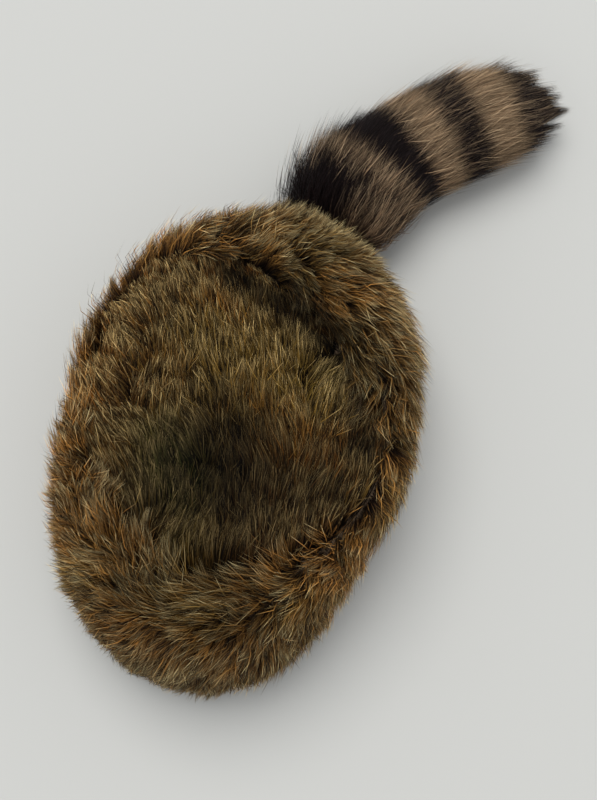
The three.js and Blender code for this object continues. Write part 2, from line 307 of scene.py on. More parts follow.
def tail_skin(along, turns):
    """The tail's hide and matted underfur, round its middle line."""
    place, forward, side, rise = tail_frame(along)
    swell = np.interp(along, [row[0] for row in TAIL_SWELL], [row[1] for row in TAIL_SWELL])
    a = turns * 2 * math.pi
    close = np.sqrt(np.clip((TAIL_SKIN_END - along) / 0.1, 0, 1))
    place = place + side * (TAIL_SWAY * fade(along, 0.2, 0.6))[..., None]
    slim = TAIL_WAIST * smooth(along, 0.08, 0.25) * fade(along, 0.4, 0.6)
    slim = slim + TAIL_TAPER * smooth(along, 0.5, 0.7)
    half_width = np.maximum(TAIL_WIDTH * swell / 2 - TAIL_PILE - slim, TAIL_LEAST[0]) * close
    half_depth = np.maximum(TAIL_DEPTH * swell / 2 - 0.8 * TAIL_PILE, TAIL_LEAST[1]) * close
    spoke = side * (np.cos(a) * half_width)[..., None] + rise * (np.sin(a) * half_depth)[..., None]
    return place + spoke, forward, unit(spoke + forward * 1e-6)


# Meshes.


def new_object(name, data):
    """An object at the origin, for a mesh, a lamp or a camera."""
    obj = bpy.data.objects.new(name, data)
    bpy.context.scene.collection.objects.link(obj)
    return obj


def grid_faces(rows, columns, around):
    """Quads between the points of a grid, whose columns may close into a ring."""
    across = columns if around else columns - 1
    row, column = np.meshgrid(np.arange(rows - 1), np.arange(across), indexing="ij")
    here = row * columns + column
    beside = row * columns + (column + 1) % columns
    return np.stack([here, beside, beside + columns, here + columns], axis=-1).reshape(-1, 4)


def grid_mesh(name, grid, around=False, attributes=()):
    """A mesh from a grid of points, with named numbers or vectors on its points."""
    rows, columns = grid.shape[:2]
    mesh = bpy.data.meshes.new(name)
    faces = grid_faces(rows, columns, around)
    mesh.from_pydata(grid.reshape(-1, 3).tolist(), [], faces.tolist())
    for key, values in dict(attributes).items():
        wide = np.ndim(values) == 3
        layer = mesh.attributes.new(key, "FLOAT_VECTOR" if wide else "FLOAT", "POINT")
        full = values if wide else np.broadcast_to(values, grid.shape[:2])
        flat = np.ascontiguousarray(full, dtype=np.float32).ravel()
        layer.data.foreach_set("vector" if wide else "value", flat)
    mesh.update()
    return mesh


def close_ends(mesh):
    """Joins the points that lie together at each end of a tube."""
    shape = bmesh.new()
    shape.from_mesh(mesh)
    bmesh.ops.remove_doubles(shape, verts=shape.verts, dist=0.01 * MM)
    shape.to_mesh(mesh)
    shape.free()


# Node trees, for materials and for growing hair.


class Wire:
    """An output of a node. Arithmetic on it adds the Math or Vector Math nodes that it needs."""

    def __init__(self, net, socket):
        self.net = net
        self.socket = socket

    def __add__(self, other):
        return self.net.calculate("ADD", self, other)

    def __sub__(self, other):
        return self.net.calculate("SUBTRACT", self, other)

    def __mul__(self, other):
        return self.net.calculate("MULTIPLY", self, other)

    def __truediv__(self, other):
        return self.net.calculate("DIVIDE", self, other)

    def __pow__(self, other):
        return self.net.calculate("POWER", self, other)

    def __radd__(self, other):
        return self.net.calculate("ADD", other, self)

    def __rsub__(self, other):
        return self.net.calculate("SUBTRACT", other, self)

    def __rmul__(self, other):
        return self.net.calculate("MULTIPLY", other, self)

    def __rtruediv__(self, other):
        return self.net.calculate("DIVIDE", other, self)

    @property
    def is_vector(self):
        return self.socket.type in {"VECTOR", "RGBA"}


class Net:
    """A node tree under construction."""

    def __init__(self, tree):
        self.tree = tree

    def add(self, kind, settings=None, inputs=None, output=0):
        """A node of that kind, its settings made before its inputs. Returns one of its outputs."""
        node = self.tree.nodes.new(kind)
        for key, value in (settings or {}).items():
            setattr(node, key, value)
        for key, value in (inputs or {}).items():
            self.feed(node, key, value)
        shown = [s for s in node.outputs if s.enabled]
        if isinstance(output, str):
            return Wire(self, next(s for s in shown if s.name == output))
        return Wire(self, shown[output])

    def beside(self, wire, name):
        """Another output of the node that a wire comes from."""
        return Wire(self, wire.socket.node.outputs[name])

    def feed(self, node, key, value):
        shown = [s for s in node.inputs if s.enabled]
        socket = shown[key] if isinstance(key, int) else next(s for s in shown if s.name == key)
        if isinstance(value, Wire):
            self.tree.links.new(value.socket, socket)
        else:
            socket.default_value = value

    def calculate(self, operation, *values):
        vectors = [isinstance(v, Wire) and v.is_vector for v in values]
        if not any(vectors):
            return self.add("ShaderNodeMath", {"operation": operation}, dict(enumerate(values)))
        if operation == "MULTIPLY" and not all(vectors):
            vector, number = values if vectors[0] else values[::-1]
            scale = {"operation": "SCALE"}
            return self.add("ShaderNodeVectorMath", scale, {0: vector, "Scale": number})
        return self.vector(operation, *values)

    def vector(self, operation, *values):
        return self.add("ShaderNodeVectorMath", {"operation": operation}, dict(enumerate(values)))

    def clamp(self, value, low=0.0, high=1.0):
        return self.calculate("MINIMUM", self.calculate("MAXIMUM", value, low), high)

    def unit(self, value):
        return self.vector("NORMALIZE", value)

    def step(self, value, low, high):
        """0 below low, 1 above high, and smooth between."""
        return self.add(
            "ShaderNodeMapRange",
            {"interpolation_type": "SMOOTHSTEP", "clamp": True},
            {"Value": value, "From Min": low, "From Max": high},
        )


# The tree that grows hair.


class Grower(Net):
    """Geometry nodes: fields read and written by name, and the strands that they shape."""

    def named(self, name, kind="FLOAT"):
        return self.add("GeometryNodeInputNamedAttribute", {"data_type": kind}, {"Name": name})

    def store(self, geometry, name, value, kind="FLOAT", domain="POINT"):
        return self.add(
            "GeometryNodeStoreNamedAttribute",
            {"data_type": kind, "domain": domain},
            {"Geometry": geometry, "Name": name, "Value": value},
        )

    def chance(self, low, high, seed):
        """A random number for each point."""
        limits = {"Min": low, "Max": high, "Seed": seed}
        return self.add("FunctionNodeRandomValue", {"data_type": "FLOAT"}, limits)

    def noise(self, where, scale, output="Color"):
        inputs = {"Vector": where, "Scale": scale, "Detail": 1.0}
        return self.add("ShaderNodeTexNoise", {"noise_dimensions": "3D"}, inputs, output)

    def scattered(self, skin, density, seed):
        """Roots scattered over the skin, each of which keeps its place, normal and lay."""
        method = {"distribute_method": "RANDOM"}
        spread = {"Mesh": skin, "Density": density, "Seed": seed}
        made = self.add("GeometryNodeDistributePointsOnFaces", method, spread, "Points")
        dots = self.store(made, "root_normal", self.beside(made, "Normal"), "FLOAT_VECTOR")
        return self.store(dots, "root", self.add("GeometryNodeInputPosition"), "FLOAT_VECTOR")

    def ruffled(self, dots, stray, seed):
        """Turns the lay of each root a little at random, and more where the pile is tousled."""
        normal = self.named("root_normal", "FLOAT_VECTOR")
        lay = self.named("comb", "FLOAT_VECTOR")
        across = self.vector("CROSS_PRODUCT", normal, lay)
        root = self.named("root", "FLOAT_VECTOR")
        broad = (self.noise(root, 38.0, "Fac") - 0.5) * 5.0
        wave = broad + (self.noise(root, 95.0, "Fac") - 0.5) * 3.5
        turn = self.chance(-1.0, 1.0, seed) * stray + wave * self.named("tousle")
        dots = self.store(dots, "comb", self.unit(lay + across * turn), "FLOAT_VECTOR")
        reach = self.named("reach") * self.chance(0.72, 1.12, seed + 1)
        dots = self.store(dots, "reach", reach)
        dots = self.store(dots, "curl", self.chance(-1.0, 1.0, seed + 3) * stray)
        lift = self.chance(0.0, 1.0, seed + 2)
        return self.store(dots, "stand", self.named("stand") * (0.65 + lift * lift * 0.75))

    def copied(self, dots, guides, prefix):
        """Gives each root the shape of the nearest guide, under names that start with the prefix."""
        where = self.add("GeometryNodeInputPosition")
        sample = {"Geometry": guides, "Sample Position": where}
        nearest = self.add("GeometryNodeSampleNearest", {"domain": "POINT"}, sample)
        for name, kind in (
            ("root", "FLOAT_VECTOR"),
            ("root_normal", "FLOAT_VECTOR"),
            ("comb", "FLOAT_VECTOR"),
            ("reach", "FLOAT"),
            ("stand", "FLOAT"),
            ("curl", "FLOAT"),
            ("tone", "FLOAT"),
        ):
            value = self.add(
                "GeometryNodeSampleIndex",
                {"data_type": kind, "domain": "POINT"},
                {"Geometry": guides, "Value": self.named(name, kind), "Index": nearest},
            )
            dots = self.store(dots, prefix + name, value, kind)
        return dots

    def bent(self, prefix, along):
        """Where a hair is at a share of its length: it stands off the hide and then lies down."""
        root = self.named(prefix + "root", "FLOAT_VECTOR")
        normal = self.named(prefix + "root_normal", "FLOAT_VECTOR")
        lay = self.named(prefix + "comb", "FLOAT_VECTOR")
        reach = self.named(prefix + "reach")
        stand = self.named(prefix + "stand")
        height = reach * stand * along * (2.0 - along)
        ahead = reach * along * (0.55 + 0.45 * along)
        aside = reach * self.named(prefix + "curl") * along * along * 0.6
        across = self.vector("CROSS_PRODUCT", normal, lay)
        return root + normal * height + lay * ahead + across * aside

    def ribbon(self, segments):
        """A flat strand, two points wide and pointed, that runs from 0 to 1 along Y."""
        size = {"Size X": 1.0, "Size Y": 1.0, "Vertices X": 2, "Vertices Y": segments + 1.0}
        strip = self.add("GeometryNodeMeshGrid", {}, size, "Mesh")
        across = self.add("ShaderNodeSeparateXYZ", {}, {0: self.add("GeometryNodeInputPosition")})
        along = self.beside(across, "Y") + 0.5
        beyond = {"data_type": "FLOAT", "operation": "GREATER_THAN"}
        at_tip = self.add("FunctionNodeCompare", beyond, {0: along, 1: 0.99})
        strip = self.store(strip, "along", along)
        strip = self.store(strip, "side", across * 2.0)
        to_point = self.add("ShaderNodeCombineXYZ", {}, {"X": 0.0, "Y": 0.5, "Z": 0.0})
        moved = {"Geometry": strip, "Selection": at_tip, "Position": to_point}
        strip = self.add("GeometryNodeSetPosition", {}, moved)
        return self.add("GeometryNodeMergeByDistance", {}, {"Geometry": strip, "Distance": 0.001})


# What shapes the strands and isn't read once they stand.
SPENT = (
    "tuft_*",
    "lock_*",
    "root_normal",
    "comb",
    "reach",
    "stand",
    "curl",
    "pull",
    "clump",
    "tousle",
    "twist",
    "thickness",
    "side",
    "strand",
)


def hair_tree():
    """Scatters strands over a skin, draws them into tufts and locks, and bends them along their lay."""
    tree = bpy.data.node_groups.new("grow_hair", "GeometryNodeTree")
    face = tree.interface
    face.new_socket("Skin", in_out="INPUT", socket_type="NodeSocketGeometry")
    for name, value in (
        ("Density", 1.0),
        ("Tuft Density", 1.0),
        ("Lock Density", 1.0),
        ("Width", 0.001),
        ("Tuft Pull", 0.6),
        ("Lock Pull", 0.3),
        ("Frizz", 0.001),
        ("Stray", 0.5),
        ("Wild", 0.9),
        ("Floor", 0.0),
    ):
        face.new_socket(name, in_out="INPUT", socket_type="NodeSocketFloat").default_value = value
    face.new_socket("Segments", in_out="INPUT", socket_type="NodeSocketInt").default_value = 2
    face.new_socket("Seed", in_out="INPUT", socket_type="NodeSocketInt")
    face.new_socket("Material", in_out="INPUT", socket_type="NodeSocketMaterial")
    face.new_socket("Hair", in_out="OUTPUT", socket_type="NodeSocketGeometry")
    net = Grower(tree)
    entry = tree.nodes.new("NodeGroupInput")

    def given(name):
        return Wire(net, entry.outputs[name])

    skin = given("Skin")
    seed = given("Seed")

    def toned(density, place_seed, tone_seed):
        """Roots scattered over the skin, each with a tone of its own."""
        found = net.scattered(skin, density, place_seed)
        return net.store(found, "tone", net.chance(0.0, 1.0, tone_seed))

    locks = toned(given("Lock Density"), seed + 11, seed + 12)
    locks = net.ruffled(locks, given("Stray") * 0.6, seed + 13)
    tufts = toned(given("Tuft Density"), seed + 21, seed + 22)
    tufts = net.ruffled(tufts, given("Stray"), seed + 23)
    dots = toned(given("Density"), seed, seed + 2)
    dots = net.store(dots, "shade", net.chance(0.0, 1.0, seed + 8))
    wild = net.step(net.named("shade"), 0.92, 0.95)
    dots = net.ruffled(dots, 0.4 + wild * given("Wild"), seed + 3)
    dots = net.copied(dots, tufts, "tuft_")
    dots = net.copied(dots, locks, "lock_")
    dots = net.store(dots, "strand", net.add("GeometryNodeInputIndex"), "INT")
    loose = net.chance(0.0, 1.0, seed + 5)
    dots = net.store(dots, "pull", (1.0 - loose * loose) * (1.0 - wild * 0.8))
    short = net.step(net.named("tone"), 0.45, 0.2)
    dots = net.store(dots, "reach", net.named("reach") * (1.0 - short * 0.4))
    dots = net.store(dots, "twist", net.chance(-0.9, 0.9, seed + 6))
    coarse = 1.0 + net.step(net.named("shade"), 0.8, 0.9) * 0.3
    dots = net.store(dots, "thickness", net.chance(0.5, 1.15, seed + 7) * coarse)
    each = {"Points": dots, "Instance": net.ribbon(given("Segments"))}
    placed = net.add("GeometryNodeInstanceOnPoints", {}, each)
    hair = net.add("GeometryNodeRealizeInstances", {}, {"Geometry": placed})

    along = net.named("along")
    own = net.bent("", along)
    tuft = net.bent("tuft_", along)
    lock = net.bent("lock_", along)
    pull = net.named("pull")
    drawn = own + (tuft - own) * (along * pull * given("Tuft Pull"))
    drawn = drawn + (lock - drawn) * (along * along * given("Lock Pull") * net.named("clump"))
    root = net.named("root", "FLOAT_VECTOR")
    curl = net.noise(root + drawn * 0.6, 260.0) - (0.5, 0.5, 0.5)
    drawn = drawn + curl * (along * given("Frizz") * 2.0)
    lay = net.named("comb", "FLOAT_VECTOR")
    normal = net.named("root_normal", "FLOAT_VECTOR")
    across = net.unit(net.vector("CROSS_PRODUCT", lay, normal) + normal * net.named("twist"))
    width = given("Width") * net.named("thickness") * (1.0 - along**2.5) * 0.5
    drawn = drawn + across * (net.named("side") * width)
    x = net.add("ShaderNodeSeparateXYZ", {}, {0: drawn})
    z = net.calculate("MAXIMUM", net.beside(x, "Z"), given("Floor"))
    place = net.add("ShaderNodeCombineXYZ", {}, {"X": x, "Y": net.beside(x, "Y"), "Z": z})
    hair = net.add("GeometryNodeSetPosition", {}, {"Geometry": hair, "Position": place})

    number = net.named("strand", "INT")
    row = net.calculate("FLOOR", number / MAP_COLUMNS)
    column = number - row * MAP_COLUMNS
    across_map = (column + 0.5 + net.named("side") * MAP_HALF_WIDTH) / MAP_COLUMNS
    up_map = (row + MAP_MARGIN + along * (1 - 2 * MAP_MARGIN)) / MAP_ROWS
    place = net.add("ShaderNodeCombineXYZ", {}, {"X": across_map, "Y": up_map})
    hair = net.store(hair, "OFBake", place, "FLOAT2", "CORNER")
    hair = net.store(hair, "tuft", net.named("tuft_tone"))
    hair = net.store(hair, "lock", net.named("lock_tone"))
    for name in SPENT:
        removal = {"pattern_mode": "WILDCARD" if "*" in name else "EXACT"}
        hair = net.add("GeometryNodeRemoveAttribute", removal, {"Geometry": hair, "Name": name})
    hair = net.add("GeometryNodeSetMaterial", {}, {"Geometry": hair, "Material": given("Material")})
    leave = tree.nodes.new("NodeGroupOutput")
    tree.links.new(hair.socket, leave.inputs["Hair"])
    return tree


def area_of(mesh):
    areas = np.empty(len(mesh.polygons))
    mesh.polygons.foreach_get("area", areas)
    return areas.sum()


def grow(name, skin, tree, material, hair, seed):
    """A piece of fur: the strands that the tree grows from a skin, as one plain mesh."""
    obj = new_object(name, skin)
    modifier = obj.modifiers.new("hair", "NODES")
    modifier.node_group = tree
    share, wider = ((1.0, 1.0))
    values = {
        "Density": share * STRANDS / area_of(skin),
        "Segments": SEGMENTS,
        "Tuft Density": 1 / hair["tuft"] ** 2,
        "Lock Density": 1 / hair["lock"] ** 2,
        "Width": hair["width"] * wider,
        "Tuft Pull": hair["tuft_pull"],
        "Lock Pull": hair["lock_pull"],
        "Frizz": hair["frizz"],
        "Stray": hair["stray"],
        "Wild": hair["wild"],
        "Floor": HAIR_FLOOR,
        "Seed": seed,
        "Material": material,
    }
    for item in tree.interface.items_tree:
        if item.in_out == "INPUT" and item.name in values:
            modifier[item.identifier] = values[item.name]
    obj.update_tag()
    graph = bpy.context.evaluated_depsgraph_get()
    made = bpy.data.meshes.new_from_object(obj.evaluated_get(graph), depsgraph=graph)
    obj.modifiers.clear()
    obj.data = made
    made.name = name
    made.polygons.foreach_set("use_smooth", np.ones(len(made.polygons), bool))
    return obj


# Skins, which carry the lay of the hair.

# What the materials read, where a skin doesn't say otherwise. Dark is painted shade, and painted light
# where it is below zero.
PLAIN = {"rust": 0.0, "gold": 0.0, "moss": 0.0, "dark": 0.0, "ring": 0.0}


def fields(hair, shape, comb, stand=1.0, length=1.0, tousle=0.2, clump=1.0, **patches):
    """The attributes that a skin gives to the hair that grows from it."""
    ones = np.ones(shape)
    angle = math.radians(hair["stand"])
    return {
        "comb": comb,
        "reach": hair["length"] * ones * length,
        "stand": math.tan(angle) * ones * stand,
        "tousle": ones * tousle,
        "clump": ones * clump,
        **{key: ones * value for key, value in {**PLAIN, **patches}.items()},
    }


def patch(place, spots):
    """The sum of soft round spots at each point: x and y of the middle and radius in mm, strength."""
    total = np.zeros(place.shape[:-1])
    for x, y, radius, strength in spots:
        away = np.hypot(place[..., 0] - x * MM, place[..., 1] - y * MM) / (radius * MM)
        total = total + strength * np.exp(-(away**2))
    return total


RUST = (
    # x, y, radius, strength
    (-74, 40, 22, 0.6),
    (-72, 2, 24, 0.8),
    (-68, -36, 18, 0.6),
    (-50, -58, 20, 0.8),
    (-14, -87, 20, 0.8),
    (30, -84, 16, 0.5),
    (51, -50, 20, 0.8),
    (72, -21, 18, 0.5),
    (79, 24, 18, 0.45),
    (61, 72, 16, 0.4),
    (32, 72, 13, 0.7),
    (-19, 95, 16, 0.8),
    (-58, 84, 18, 0.35),
)
# Painted shade: the dark line where the band's hair lies over the crown's front edge.
PAINTED_SEAM_SHADE = (
    # x, y, radius, strength
    (-32, -42, 6, 0.4),
    (-23, -50, 6, 0.35),
    (-8, -55, 6, 0.25),
    (8, -56, 6, 0.3),
    (24, -50, 6, 0.7),
    (38, -41, 6, 0.8),
    (50, -28, 6, 0.8),
    (58, -14, 6, 0.8),
)
CROWN_RUST = (
    # x, y, radius, strength
    (-25, 62, 9, 0.8),
    (14, 22, 14, 0.7),
    (26, 6, 12, 0.5),
    (-38, 30, 12, 0.35),
    (2, -44, 16, 0.35),
    (48, 8, 10, 0.5),
)
GOLD = (
    # x, y, radius, strength
    (7, 36, 30, 0.9),
    (-18, 45, 24, 0.5),
    (38, 38, 20, 0.6),
    (6, -72, 16, 0.9),
    (-40, -78, 14, 0.7),
    (50, -66, 14, 0.6),
    (76, -6, 16, 0.5),
    (86, 40, 14, 0.6),
    (20, 104, 22, 0.6),
)
MOSS = (
    # x, y, radius, strength
    (-17, -23, 20, 1.0),
    (-32, -6, 16, 0.5),
    (-6, -50, 14, 0.5),
    (-40, 40, 20, 0.3),
    (34, 44, 10, 0.5),
)
# Painted shade and painted light: shade in the dish of the crown, in the crease under the back fold, on
# the band's lower front and in other places, and light on the crown's upper middle and round the band.
PAINTED_SHADE_AND_LIGHT = (
    # x, y, radius, strength: a positive strength is painted shade, a negative one painted light
    (8, 4, 24, 1.25),
    (-48, 12, 20, -0.3),
    (-20, 24, 14, 0.3),
    (56, 6, 16, 0.4),
    (24, 88, 18, 0.5),
    (-32, -98, 20, 0.5),
    (-54, 70, 10, 0.35),
    (-20, -23, 24, 0.9),
    (12, -36, 24, 0.95),
    (46, -18, 22, 0.7),
    (-24, 78, 8, 1.8),
    (-13, 74, 7, 1.8),
    (-1, 70, 7, 2.4),
    (12, 71, 8, 2.6),
    (23, 68, 8, 2.6),
    (33, 61, 8, 2.4),
    (42, 53, 8, 2.4),
    (58, 36, 9, 1.8),
    (60, 20, 12, 0.5),
    (-2, 114, 14, 0.6),
    (66, 16, 10, 0.9),
    (-21, -93, 24, 0.3),
    (10, -98, 28, 0.55),
    (36, -84, 24, 0.4),
    (58, -40, 18, -0.8),
    (-18, 45, 24, -0.4),
    (7, 34, 18, -0.2),
    (40, 30, 16, -0.45),
    (-78, 8, 24, -0.8),
    (-68, -42, 18, -0.4),
    (-60, 84, 26, -0.7),
    (-77, 53, 22, -0.6),
    (64, 70, 20, -0.3),
    (76, 30, 14, -0.4),
    (80, -4, 14, -0.3),
)
# Painted shade and painted light are held within these limits.
SHADE_LIMITS = (-1.0, 1.65)  # of all the dark and pale places that meet

HAIR_START = 0.015  # the climb at which the band's hair begins, clear of the surface

# Where the band's hair is longer or shorter.
BAND_LENGTHS = (
    # angle, spread, change
    (52, 16, 0.3),
    (125, 14, 0.2),
    (5, 20, -0.15),
)
BROW = (266, 20)  # the angle and spread of the front edge, where the hair lies closer


def disc(count):
    """A square grid drawn out to a round edge, as angles and shares of the way to the edge."""
    step = np.linspace(-1, 1, count + 1)
    v, u = np.meshgrid(step, step, indexing="ij")
    reach = np.maximum(abs(u), abs(v))
    flat_u = np.where(u == 0, 1e-9, u)
    flat_v = np.where(v == 0, 1e-9, v)
    sideways = 45 * v / flat_u + np.where(u < 0, 180, 0)
    lengthways = 90 - 45 * u / flat_v + np.where(v < 0, 180, 0)
    return np.where(abs(u) >= abs(v), sideways, lengthways), reach


def crown_skin():
    """The crown's hide, whose hair lies backwards and fans out to both sides."""
    degrees, reach = disc(CROWN_GRID)
    place = crown_hide(degrees, reach)
    half = CROWN_WIDTH / 2
    spread = -0.38 + 0.42 * place[..., 0] / half
    comb = points(np.sin(spread), np.cos(spread), 0)
    seen = place + comb * (SEEN_SHARE * CROWN_HAIR["length"])
    edge = smooth(reach, 0.7, 1.0)
    back = smooth(np.sin(np.radians(degrees)), -0.2, 0.6)
    under_fold = smooth(reach, 0.6, 0.95) * np.clip(slump(FOLD, degrees), 0, 1)
    attributes = fields(
        CROWN_HAIR,
        place.shape[:2],
        comb,
        stand=1.0 + 0.2 * edge,
        length=1.0 - 0.5 * edge * back - 0.25 * under_fold,
        tousle=0.22 + 0.5 * patch(seen, MOSS) + 0.4 * smooth(-seen[..., 1], 30 * MM, 60 * MM),
        rust=0.3 * patch(seen, RUST) + patch(seen, CROWN_RUST),
        gold=patch(seen, GOLD),
        moss=patch(seen, MOSS),
        # Painted shade and painted light from the spots, painted shade along the seam, and the whole
        # crown a little darker.
        dark=np.clip(patch(seen, PAINTED_SHADE_AND_LIGHT) + patch(seen, PAINTED_SEAM_SHADE) + 0.3, *SHADE_LIMITS),
    )
    return grid_mesh("crown_skin", place, attributes=attributes)


def band_skin(name, start, end):
    """A stretch of the band's hide, whose hair runs clockwise and falls more towards the rim."""
    climbs = np.linspace(HAIR_START, 1.0, 40)
    climb, degrees = np.meshgrid(climbs, np.linspace(start, end, 60), indexing="ij")
    place, clockwise, down, _ = band_frame(degrees, climb)
    a = np.radians(degrees)
    turned = np.mod(degrees + 90, FULL_TURN) - 90
    front = smooth(-np.sin(a), 0.3, 0.8)
    inner = smooth(climb, 0.8, 1.0)
    fold = np.clip(slump(FOLD, degrees), 0, 1)

    # Near the seam the hair leans in over the crown, in front and at two places behind.
    leans = (
        smooth(-np.sin(a), -0.2, 0.8),
        0.75 * bump(turned, 132, 28),
        0.85 * bump(turned, 35, 50),
    )
    lean = smooth(climb, 0.7, 1.0) * np.max(leans, axis=0)
    hanging = front * fade(climb, 0.6, 0.9)
    fall = np.radians(18 + 45 * (1 - climb) ** 0.8 + 25 * hanging - 68 * lean)
    comb = clockwise * np.cos(fall)[..., None] + down * np.sin(fall)[..., None]

    # Where the tail is sewn on, the hair spreads out over its root.
    over_tail = bump(turned, TAIL_ANGLE, 15) * smooth(climb, 0.25, 0.4) * fade(climb, 0.6, 0.8)
    spread = points(np.cos(a), np.sin(a), 0) * 0.8 + clockwise * 0.5
    comb = unit(comb * (1 - over_tail[..., None]) + spread * over_tail[..., None])

    brow = bump(degrees, *BROW) * fade(climb, 0.45, 0.75)
    length = 1.0 - 0.35 * over_tail - 0.28 * brow + inner * (0.3 + 0.2 * front - 0.35 * fold)
    for angle, width, change in BAND_LENGTHS:
        length = length + change * bump(turned, angle, width)
    seen = place + comb * (SEEN_SHARE * BAND_HAIR["length"])
    # Painted shade and painted light from the spots, painted shade along the seam, and more painted
    # shade on the inner lip by the seam, most in front.
    dark = patch(seen, PAINTED_SHADE_AND_LIGHT) + 0.8 * patch(seen, PAINTED_SEAM_SHADE) + (0.1 + 0.15 * front) * inner
    attributes = fields(
        BAND_HAIR,
        place.shape[:2],
        comb,
        stand=(0.9 + 0.25 * climb) * (1 - 0.25 * brow),
        length=length,
        tousle=0.9,
        rust=patch(seen, RUST),
        gold=patch(seen, GOLD),
        dark=np.clip(dark, *SHADE_LIMITS),
    )
    return grid_mesh(name, place, attributes=attributes)


def tail_grid():
    """The tail's skin. Its ring attribute says how far along the tail a hair grows."""
    around = np.linspace(0, 1, 40, endpoint=False)[::-1]
    along, turns = np.meshgrid(np.linspace(0, TAIL_SKIN_END, 90), around, indexing="ij")
    place, forward, outward = tail_skin(along, turns)
    across = np.cos(turns * 2 * math.pi)
    root_fan = np.clip(1 - along / 0.3, 0, 1)
    gathered = smooth(along, 0.8, TAIL_SKIN_END)[..., None]

    # The first ring leaves the right side of the root tan.
    paler = smooth(across, 0.1, 0.6) * fade(along, 0.11, 0.19)
    at_root = smooth(across, -0.3, 0.2) * fade(along, 0.02, 0.07)
    attributes = fields(
        TAIL_HAIR,
        place.shape[:2],
        unit(forward - outward * 0.45 * gathered),
        stand=1.0 + root_fan * (0.8 - 0.6 * across),
        length=np.interp(along, [0, 0.6, 0.85, 1], [1.0, 0.95, 0.9, 0.85]),
        tousle=0.12,
        clump=1.0 + 2.5 * smooth(along, 0.75, 0.9),
        ring=along,
        paler=np.maximum(paler, at_root),
    )
    return grid_mesh("tail_skin", place, around=True, attributes=attributes)


# Materials.


class Paint(Net):
    """Shader nodes, from the attributes that a piece carries."""

    def named(self, name):
        return self.add("ShaderNodeAttribute", {"attribute_name": name}, {}, "Fac")

    def mix(self, share, first, second, blend="MIX"):
        first, second = [(*c, 1.0) if isinstance(c, tuple) else c for c in (first, second)]
        settings = {"data_type": "RGBA", "blend_type": blend}
        return self.add("ShaderNodeMix", settings, {"Factor": share, "A": first, "B": second})

    def lit(self, colour, light):
        """A colour made darker or brighter by a number."""
        grey = self.add("ShaderNodeCombineColor", {}, {0: light, 1: light, 2: light})
        return self.mix(1.0, colour, grey, "MULTIPLY")


CROWN_COLOURS = {
    "roots": (0.008, 0.004, 0.002),
    "shaft": (0.055, 0.030, 0.010),
    "tips": (0.72, 0.52, 0.22),
    "rust": (0.20, 0.075, 0.012),
    "gold": (0.17, 0.10, 0.018),
}
BAND_COLOURS = {
    "roots": (0.014, 0.006, 0.003),
    "shaft": (0.11, 0.060, 0.018),
    "tips": (0.70, 0.58, 0.30),
    "rust": (0.29, 0.13, 0.028),
    "gold": (0.22, 0.135, 0.035),
}
MOSS_COLOUR = (0.055, 0.06, 0.014)
TAIL_COLOURS = {
    "black": (0.010, 0.006, 0.006),
    "tan": (0.175, 0.108, 0.06),
    "pale": (0.48, 0.345, 0.21),
}
FIRST_RING = 0.14  # the middle of the first dark ring, as a share of the tail's line
RINGS = 3.94  # in a whole line, if they stayed as close together as at its root
RINGS_SPREAD = 0.37  # and how much further apart they come to lie


def new_material(name, roughness, specular=0.1):
    material = bpy.data.materials.new(name)
    material.use_nodes = True
    shader = next(n for n in material.node_tree.nodes if n.type == "BSDF_PRINCIPLED")
    shader.inputs["Roughness"].default_value = roughness
    shader.inputs["Specular IOR Level"].default_value = specular
    return material, Paint(material.node_tree), shader


def fur_material(name, colours, rusty_share):
    """Banded hair: dark at its root, coloured along its shaft and paler towards its tip."""
    material, paint, shader = new_material(name, 0.55)
    along = paint.named("along")
    tone = paint.named("tone")
    tuft = paint.named("tuft")
    shade = paint.named("shade")
    # Painted shade, and painted light where it is below zero.
    dark = paint.named("dark")
    clump = tuft * 0.8 + paint.named("lock") * 0.8
    pick = paint.calculate("FRACT", shade * 7.3 + tone * 3.1)

    # Rust and gold come in patches, more in some tufts than in others, and in a few single hairs.
    rusty = (paint.named("rust") * 1.2 + rusty_share) * (0.15 + clump * clump)
    rusty = paint.clamp(rusty + paint.step(pick, 0.16, 0.1) * 0.35)
    golden = paint.named("gold") * (1.1 - clump * 0.5) + paint.step(pick, 0.84, 0.9) * 0.4
    mossy = paint.named("moss") * (0.4 + tuft * 0.8)
    colour = paint.mix(rusty, colours["shaft"], colours["rust"])
    colour = paint.mix(paint.clamp(golden), colour, colours["gold"])
    colour = paint.mix(paint.clamp(mossy), colour, MOSS_COLOUR)

    # Many tips are pale. The roots are dark, and so are some whole guard hairs.
    pale = paint.step(along, 0.55, 0.95) * paint.step(tone, 0.35, 0.8) * (1.0 - rusty * 0.3)
    # Fewer tips are pale where shade is painted.
    pale = pale * paint.clamp(1.0 - dark * 0.2)
    colour = paint.mix(pale, colour, colours["tips"])
    rooted = paint.step(along + (shade - 0.5) * 0.3, 0.7, 0.2)
    colour = paint.mix(rooted, colour, colours["roots"])
    guard = paint.step(shade, 0.22, 0.12) * 0.9
    colour = paint.mix(guard, colour, colours["roots"])

    # Tufts and single hairs differ in brightness, and both are dimmer where shade is painted and
    # brighter where light is painted.
    light = (0.16 + tuft * 0.42) * (1.0 - dark * 0.58)
    light = light + shade**3.0 * 1.85 * (1.0 - dark * 0.47)
    paint.feed(shader, "Base Color", paint.lit(colour, light))
    return material


